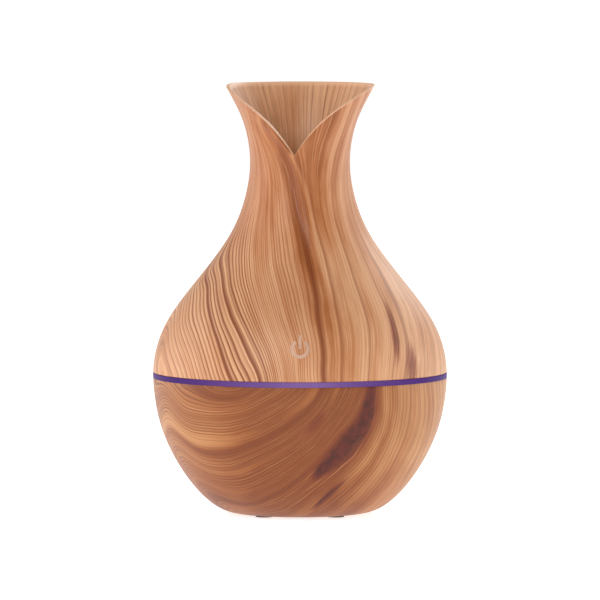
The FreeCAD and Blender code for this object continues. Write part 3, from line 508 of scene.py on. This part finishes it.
class Nodes:
    """Short way of writing node trees."""

    def __init__(self, name):
        self.material = bpy.data.materials.new(name)
        self.material.use_nodes = True
        self.tree = self.material.node_tree
        self.shader = self.tree.nodes["Principled BSDF"]

    def put(self, kind, inputs=None, **settings):
        node = self.tree.nodes.new("ShaderNode" + kind)
        for key, value in settings.items():
            setattr(node, key, value)
        for key, value in (inputs or {}).items():
            self.feed(node.inputs[key], value)
        return node

    def feed(self, socket, value):
        if isinstance(value, bpy.types.NodeSocket):
            self.tree.links.new(value, socket)
        else:
            socket.default_value = value

    def attribute(self, name):
        return self.put("Attribute", attribute_name=name).outputs["Fac"]

    def math(self, operation, a, b=0.0, clamp=False):
        return self.put("Math", {0: a, 1: b}, operation=operation, use_clamp=clamp).outputs[0]

    def noise(self, vector, scale, detail=2.0, roughness=0.5, distortion=0.0):
        return self.put("TexNoise", {"Vector": vector, "Scale": scale, "Detail": detail,
                                     "Roughness": roughness, "Distortion": distortion}).outputs["Fac"]

    def line_noise(self, w, scale, detail=2.0, roughness=0.5):
        return self.put("TexNoise", {"W": w, "Scale": scale, "Detail": detail, "Roughness": roughness},
                        noise_dimensions="1D").outputs["Fac"]

    def vector(self, x, y, z=0.0):
        return self.put("CombineXYZ", {0: x, 1: y, 2: z}).outputs[0]

    def spread(self, value, low, high, to_low=0.0, to_high=1.0):
        return self.put("MapRange", {0: value, 1: low, 2: high, 3: to_low, 4: to_high}).outputs[0]

    def ramp(self, value, stops):
        node = self.put("ValToRGB", {0: value})
        elements = node.color_ramp.elements
        elements[1].position, elements[1].color = stops[-1]
        elements[0].position, elements[0].color = stops[0]
        for position, colour in stops[1:-1]:
            elements.new(position).color = colour
        return node.outputs[0]

    def mix(self, share, a, b, blend="MIX"):
        node = self.put("Mix", {0: share}, data_type="RGBA", blend_type=blend)
        self.feed(node.inputs[6], a)
        self.feed(node.inputs[7], b)
        return node.outputs[2]

    def bump(self, height, strength, distance=0.0002):
        return self.put("Bump", {"Height": height, "Strength": strength, "Distance": distance}).outputs[0]

    def set(self, **values):
        for key, value in values.items():
            self.feed(self.shader.inputs[key.replace("_", " ")], value)
        return self.material


def wood(name, tones, weights, accents, tint):
    """Satin wood-grain print. tones, weights and accents are set along the growth-ring number."""
    first, last = -16.0, 72.0
    n = Nodes(name)
    ring, along, turn = n.attribute("ring"), n.attribute("along"), n.attribute("turn")
    stain, tone_and_painted_shade, accent = n.attribute("stain"), n.attribute("tone_and_painted_shade"), n.attribute("accent")
    where = n.put("TexCoord").outputs["Object"]
    wander = n.math("SUBTRACT", n.noise(where, 55.0, 2.0, 0.5), 0.5)
    ring_w = n.math("ADD", ring, n.math("MULTIPLY", wander, 0.45))
    share = n.spread(ring_w, first, last)

    def at(number):
        return (number - first) / (last - first)

    def grey(value):
        return (value, value, value, 1.0)

    fine = n.line_noise(ring_w, 3.3, 3.0, 0.62)
    fibre = n.noise(n.vector(n.math("MULTIPLY", ring_w, 5.0), n.math("MULTIPLY", along, 0.09),
                             n.math("MULTIPLY", turn, 0.2)), 1.0, 4.0, 0.65)
    patch = n.noise(n.vector(n.math("MULTIPLY", ring_w, 0.20), n.math("MULTIPLY", along, 0.05),
                             n.math("MULTIPLY", turn, 0.12)), 1.0, 2.0, 0.5)
    tone = n.ramp(share, [(at(number), grey(value)) for number, value in tones])
    tone = n.math("ADD", tone,
                  n.math("MULTIPLY", n.math("SUBTRACT", n.line_noise(ring_w, 0.31, 2.0), 0.5), 0.9))
    tone = n.math("ADD", tone, n.math("MULTIPLY", n.math("SUBTRACT", patch, 0.5), 0.9))
    # Subtracts the stored tone offsets. These hold darker wood and painted shade at the lap's crease and on
    # the bowl's front and bottom, and painted light as negative values on the lap's ridge and inside the
    # mouth.
    tone = n.math("SUBTRACT", tone, tone_and_painted_shade)
    colour = n.ramp(tone, [(0.0, linear((146, 76, 24))), (0.3, linear((172, 101, 50))),
                           (0.6, linear((198, 134, 87))), (1.0, linear((221, 166, 121)))])
    # one growth ring, from its pale early wood to its dark, sharply ending late wood
    part = n.math("FRACT", ring_w)
    line = n.ramp(part, [(0.0, grey(0.75)), (0.12, grey(0.05)), (0.45, grey(0.0)), (0.72, grey(0.55)),
                         (0.86, grey(1.0)), (0.97, grey(0.95))])
    uneven = n.spread(n.line_noise(ring_w, 0.9, 1.0), 0.30, 0.60, 0.35, 1.0)
    weight = n.ramp(share, [(at(number), grey(value)) for number, value in weights])
    depth = n.spread(weight, 0.2, 0.8, 0.45, 1.0)
    weight = n.math("MULTIPLY", n.math("MULTIPLY", line, weight),
                    n.math("MULTIPLY", uneven, n.attribute("lines")))
    weight = n.spread(n.math("MULTIPLY", weight, n.spread(fibre, 0.35, 0.6, 1.0, 0.8)), 0.0, 0.72, 0.0, 0.95)
    colour = n.mix(weight, colour, linear((128, 62, 14)))
    colour = n.mix(n.math("MULTIPLY", n.spread(fine, 0.52, 0.72, 0.0, 0.5), depth), colour,
                   linear((130, 65, 18)))
    colour = n.mix(n.math("MULTIPLY", n.spread(fine, 0.47, 0.30), 0.30), colour, linear((229, 177, 133)))
    colour = n.mix(n.math("MULTIPLY", n.spread(fibre, 0.50, 0.72), 0.40), colour, linear((132, 69, 20)))
    colour = n.mix(n.math("MULTIPLY", n.spread(fibre, 0.46, 0.30), 0.26), colour, linear((227, 175, 130)))
    stops = []
    for number, half, value in accents:
        stops += [(at(number - half), grey(0.0)), (at(number), grey(value)), (at(number + half), grey(0.0))]
    bands = n.math("MULTIPLY", n.ramp(share, stops), accent)
    bands = n.math("MULTIPLY", n.spread(bands, 0.0, 0.5), n.spread(fibre, 0.3, 0.6, 1.0, 0.8))
    colour = n.mix(bands, colour, linear((122, 54, 8)))
    ragged = n.math("ADD", stain, n.math("MULTIPLY", n.math("SUBTRACT", fibre, 0.5), 0.8))
    ragged = n.math("ADD", ragged, n.math("MULTIPLY", n.math("SUBTRACT", fine, 0.5), 0.7))
    heart = n.ramp(n.spread(n.noise(where, 420.0, 3.0, 0.6), 0.3, 0.7), [
        (0.0, linear((72, 18, 3))), (1.0, linear((112, 38, 13)))])
    halo = n.math("MULTIPLY", n.spread(ragged, 0.02, 0.45), n.spread(stain, 0.0, 0.2, 0.0, 0.75))
    colour = n.mix(halo, colour, linear((146, 68, 26)))
    colour = n.mix(n.math("MULTIPLY", n.spread(ragged, 0.22, 0.90), n.spread(stain, 0.05, 0.35)), colour,
                   heart)
    bare = n.mix(n.spread(n.noise(where, 300.0), 0.3, 0.7), linear((226, 216, 200)), linear((233, 224, 209)))
    colour = n.mix(n.math("MULTIPLY", n.attribute("edge"), 0.8), colour, linear((240, 190, 150)))
    colour = n.mix(n.attribute("plain"), colour, bare)
    relief = n.math("ADD", n.math("MULTIPLY", fibre, 0.6),
                    n.math("MULTIPLY", n.noise(where, 1800.0, 2.0), 0.4))
    colour = n.mix(1.0, colour, tint, "MULTIPLY")
    return n.set(Base_Color=colour, Roughness=n.spread(fibre, 0.3, 0.7, 0.42, 0.52), Specular_IOR_Level=0.35,
                 Normal=n.bump(relief, 0.08, 0.0002), Coat_Weight=0.12, Coat_Roughness=0.38)


def plastic(name, colour, roughness=0.45, speckle=0.04, grain=900.0, bump=0.08, **extra):
    n = Nodes(name)
    where = n.put("TexCoord").outputs["Object"]
    tone = n.noise(where, grain * 0.12, 2.0)
    dark = tuple(c * (1 - speckle) for c in colour)
    light = tuple(min(255, c * (1 + speckle)) for c in colour)
    grainy = n.noise(where, grain, 3.0, 0.6)
    return n.set(Base_Color=n.mix(n.spread(tone, 0.3, 0.7), linear(dark), linear(light)),
                 Roughness=n.spread(grainy, 0.3, 0.7, roughness - 0.05, roughness + 0.06),
                 Normal=n.bump(grainy, bump, 0.0002), **extra)


def metal(name, colour, roughness=0.32, brushed=(40, 40, 1400)):
    n = Nodes(name)
    where = n.put("TexCoord").outputs["Object"]
    stretched = n.put("Mapping", {"Vector": where, "Scale": brushed}).outputs[0]
    streak = n.noise(stretched, 1.0, 4.0, 0.6)
    dark, light = tuple(c * 0.86 for c in colour), tuple(min(255, c * 1.06) for c in colour)
    return n.set(Base_Color=n.mix(n.spread(streak, 0.3, 0.7), linear(dark), linear(light)), Metallic=1.0,
                 Roughness=n.spread(streak, 0.3, 0.7, roughness - 0.08, roughness + 0.1),
                 Normal=n.bump(streak, 0.12, 0.0001))


def board(name):
    """Green solder mask with copper tracks showing through as a darker and lighter weave."""
    n = Nodes(name)
    where = n.put("TexCoord").outputs["Object"]
    cells = n.put("TexVoronoi", {"Vector": where, "Scale": 420.0}, distance="CHEBYCHEV").outputs["Distance"]
    tracks = n.spread(cells, 0.30, 0.36)
    fine = n.noise(where, 1500.0, 2.0)
    colour = n.mix(n.math("MULTIPLY", tracks, 0.7), linear((24, 92, 52)), linear((44, 124, 70)))
    colour = n.mix(n.math("MULTIPLY", fine, 0.2), colour, linear((14, 60, 34)))
    return n.set(Base_Color=colour, Roughness=n.spread(fine, 0.3, 0.7, 0.28, 0.4),
                 Normal=n.bump(tracks, 0.25, 0.00005))


def glow_ring(name):
    """Translucent ring, lit from inside, paler at the front and back than at the sides."""
    n = Nodes(name)
    where = n.put("TexCoord").outputs["Object"]
    haze = n.spread(n.noise(where, 60.0, 3.0), 0.3, 0.7)
    fine = n.noise(where, 900.0, 2.0)
    across = n.math("ABSOLUTE", n.put("SeparateXYZ", {0: where}).outputs["X"])
    side = n.spread(across, 0.004, 0.040)
    glow = n.mix(side, n.mix(haze, linear((132, 98, 164)), linear((144, 110, 172))),
                 n.mix(haze, linear((58, 8, 110)), linear((74, 20, 124))))
    return n.set(Base_Color=linear((26, 6, 40)), Specular_IOR_Level=0.12,
                 Roughness=n.spread(fine, 0.3, 0.7, 0.45, 0.55),
                 Emission_Color=glow, Emission_Strength=0.8, Normal=n.bump(fine, 0.05, 0.0001))


def dress(material, *names):
    for name in names:
        target = nodes[name] if isinstance(name, str) else name
        target.data.materials.clear()
        target.data.materials.append(material)


# ---- pieces ----

cover = build_cover()
keyway = block_cutter((-2.25, 40.0, 40.0), (2.25, 45.75, 49.2))
cut_away(cover, [keyway])
smooth(cover, 50)
grain_cover(cover)
dress(wood(
    "cover_wood",
    tones=[(-14, 0.6), (-6, 0.75), (2, 0.8), (14, 0.75), (19, 0.6), (32, 0.6), (36, 0.35), (40, 0.65),
           (50, 0.8), (62, 0.9)],
    weights=[(-12, 0.6), (0, 0.9), (14, 1.0), (18, 0.6), (32, 0.5), (36, 0.25), (44, 0.25), (47, 0.12),
             (52, 0.15), (60, 0.3)],
    accents=[(0.0, 0.55, 0.85), (2.8, 0.5, 0.5), (5.2, 0.6, 0.8), (7.6, 0.45, 0.6), (34.3, 0.9, 0.6),
             (38.2, 0.45, 0.4), (45.2, 0.4, 0.4), (52.0, 0.35, 0.3), (54.6, 0.4, 0.4)],
    tint=(0.97, 0.97, 1.0, 1.0)), cover)
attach(cover, "cover")
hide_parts("upper_cover")

bosses = build_bosses()
dress(plastic("boss_plastic", (229, 220, 205)), bosses)
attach(bosses, "cover")

bowl = build_bowl()
grain_bowl(bowl)
dress(wood(
    "bowl_wood",
    tones=[(-2, 0.25), (3, 0.45), (12, 0.6), (16, 0.75), (19, 0.4), (24, 0.6), (28, 0.4), (35, 0.3),
           (38, 0.6), (45, 0.8), (60, 0.9)],
    weights=[(-2, 0.5), (3, 0.9), (12, 0.9), (15, 0.35), (19, 0.4), (22, 0.8), (27, 0.7), (33, 0.35),
             (36, 0.8), (40, 0.6), (46, 0.45), (60, 0.3)],
    accents=[(0.0, 0.8, 0.45), (9.6, 0.4, 0.3), (18.6, 1.8, 0.35), (35.6, 0.8, 0.4),
             (41.6, 0.6, 0.30), (43.6, 0.4, 0.2), (49.0, 0.3, 0.25), (53.0, 0.25, 0.2)],
    tint=(0.76, 0.67, 0.48, 1.0)), bowl)
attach(bowl, "base")
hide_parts("lower_shell")

inlet = build_inlet()
dress(plastic("liner_plastic", (146, 96, 62), 0.5), inlet)
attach(inlet, "base")

white = plastic("white_plastic", (238, 237, 232), 0.42)
dress(glow_ring("ring_glow"), "light_ring")
dress(plastic("symbol_ink", (196, 156, 132), 0.35, 0.05, 2400.0, Metallic=0.25), "power_icon")
dress(plastic("grille_plastic", (150, 100, 66), 0.55, 0.06), "intake_grille")
dress(plastic("filter_foam", (52, 52, 55), 0.9, 0.35, 2600.0, 0.9), "intake_filter")
dress(plastic("foot_rubber", (66, 63, 60), 0.75, 0.08, 2200.0, 0.3), "rubber_feet")
dress(metal("screw_steel", (176, 176, 178)), "base_screws", "retainer_screws", "fan_screws", "board_screws",
      "guard_screws", "fan_shaft")
dress(white, "water_tank", "tank_collar", "air_duct", "tank_posts", "transducer_retainer", "touch_housing")
dress(plastic("guard_plastic", (241, 240, 236), 0.38), "mist_guard")
dress(plastic("silicone", (212, 212, 207), 0.6, 0.04, 1200.0, 0.12), "tank_seal", "transducer_gasket")
dress(metal("disc_steel", (205, 204, 200), 0.25, (1500, 60, 60)), "transducer_disc")
dress(plastic("fan_black", (26, 26, 28), 0.5, 0.12), "fan_frame", "fan_impeller")
dress(metal("bronze", (176, 130, 72), 0.45, (600, 600, 600)), "fan_bearing")
dress(metal("winding_copper", (150, 84, 46), 0.35, (200, 200, 4000)), "fan_stator")
dress(plastic("ferrite", (58, 58, 62), 0.65, 0.12, 3000.0, 0.2), "fan_magnet")
dress(board("solder_mask"), "main_board", "led_board", "touch_board")
dress(metal("usb_steel", (196, 197, 200), 0.28, (1200, 60, 60)), "usb_socket")
dress(plastic("chip_black", (32, 32, 34), 0.5, 0.15, 2000.0, 0.2), "board_chips", "usb_tongue", "inductor")
dress(metal("can_aluminium", (170, 172, 180), 0.3), "capacitor")
dress(plastic("nylon", (228, 224, 204), 0.5), "wire_connectors")
dress(metal("spring_gold", (206, 184, 122), 0.3), "touch_spring")
dress(plastic("led_lens", (240, 236, 214), 0.25, 0.05), "leds")
dress(plastic("lead_black", (30, 30, 31), 0.5), "fan_cable")
dress(plastic("lead_red", (170, 34, 30), 0.5), "transducer_cable")
dress(plastic("lead_white", (226, 226, 222), 0.5), "led_cable")
dress(plastic("lead_blue", (40, 66, 150), 0.5), "touch_cable")

# ---- floor, light and camera ----


def build_floor():
    """Plain pale studio floor, wide enough to reach past the picture."""
    half = 30.0
    mesh = bpy.data.meshes.new("floor")
    mesh.from_pydata([(-half, -half, 0), (half, -half, 0), (half, half, 0), (-half, half, 0)], [],
                     [(0, 1, 2, 3)])
    floor = bpy.data.objects.new("floor", mesh)
    bpy.context.scene.collection.objects.link(floor)
    n = Nodes("floor_paint")
    grain = n.noise(n.put("TexCoord").outputs["Object"], 40.0, 3.0)
    paint = n.mix(grain, (0.66, 0.66, 0.66, 1), (0.70, 0.70, 0.70, 1))
    floor.data.materials.append(n.set(Base_Color=paint, Roughness=0.9, Emission_Color=(1, 1, 1, 1),
                                      Emission_Strength=0.78))


def add_light(name, place_at, aim, size, power):
    data = bpy.data.lights.new(name, "AREA")
    data.shape, data.size, data.size_y, data.energy = "RECTANGLE", size[0], size[1], power
    light = bpy.data.objects.new(name, data)
    bpy.context.scene.collection.objects.link(light)
    light.location = place_at
    light.rotation_euler = (Vector(aim) - Vector(place_at)).to_track_quat("-Z", "Y").to_euler()


def build_world():
    """White studio: bright round the horizon, dimmer overhead."""
    world = bpy.data.worlds.new("studio")
    world.use_nodes = True
    tree = world.node_tree
    coordinate, split = tree.nodes.new("ShaderNodeTexCoord"), tree.nodes.new("ShaderNodeSeparateXYZ")
    spread = tree.nodes.new("ShaderNodeMapRange")
    for index, value in ((1, 0.10), (2, 0.35), (3, 1.0), (4, 0.33)):
        spread.inputs[index].default_value = value
    background = tree.nodes["Background"]
    background.inputs["Color"].default_value = (1, 1, 1, 1)
    tree.links.new(coordinate.outputs["Generated"], split.inputs[0])
    tree.links.new(split.outputs["Z"], spread.inputs[0])
    tree.links.new(spread.outputs[0], background.inputs["Strength"])
    bpy.context.scene.world = world


build_floor()
build_world()
middle = (0, 0, 0.07)
add_light("side_left", (-1.3, 0.25, 0.45), middle, (1.2, 1.2), 8)
add_light("side_right", (1.3, 0.30, 0.40), middle, (1.2, 1.2), 7)
add_light("key", (-0.8, -1.5, 1.1), middle, (0.9, 0.9), 15)
add_light("back", (0.8, 1.5, 1.1), middle, (0.9, 0.9), 12)

CAMERA_DISTANCE, CAMERA_HEIGHT, AIM_HEIGHT = 2.5, 0.226, 0.0707
camera_data = bpy.data.cameras.new("camera")
camera = bpy.data.objects.new("camera", camera_data)
bpy.context.scene.collection.objects.link(camera)
camera.location = (0, -CAMERA_DISTANCE, CAMERA_HEIGHT)
camera.rotation_euler = (Vector((0, 0, AIM_HEIGHT)) - camera.location).to_track_quat("-Z", "Y").to_euler()
camera_data.sensor_width = 36.0
camera_data.lens = 455.82
camera_data.clip_end = 50
bpy.context.scene.camera = camera
bpy.context.scene.view_settings.view_transform = "Standard"
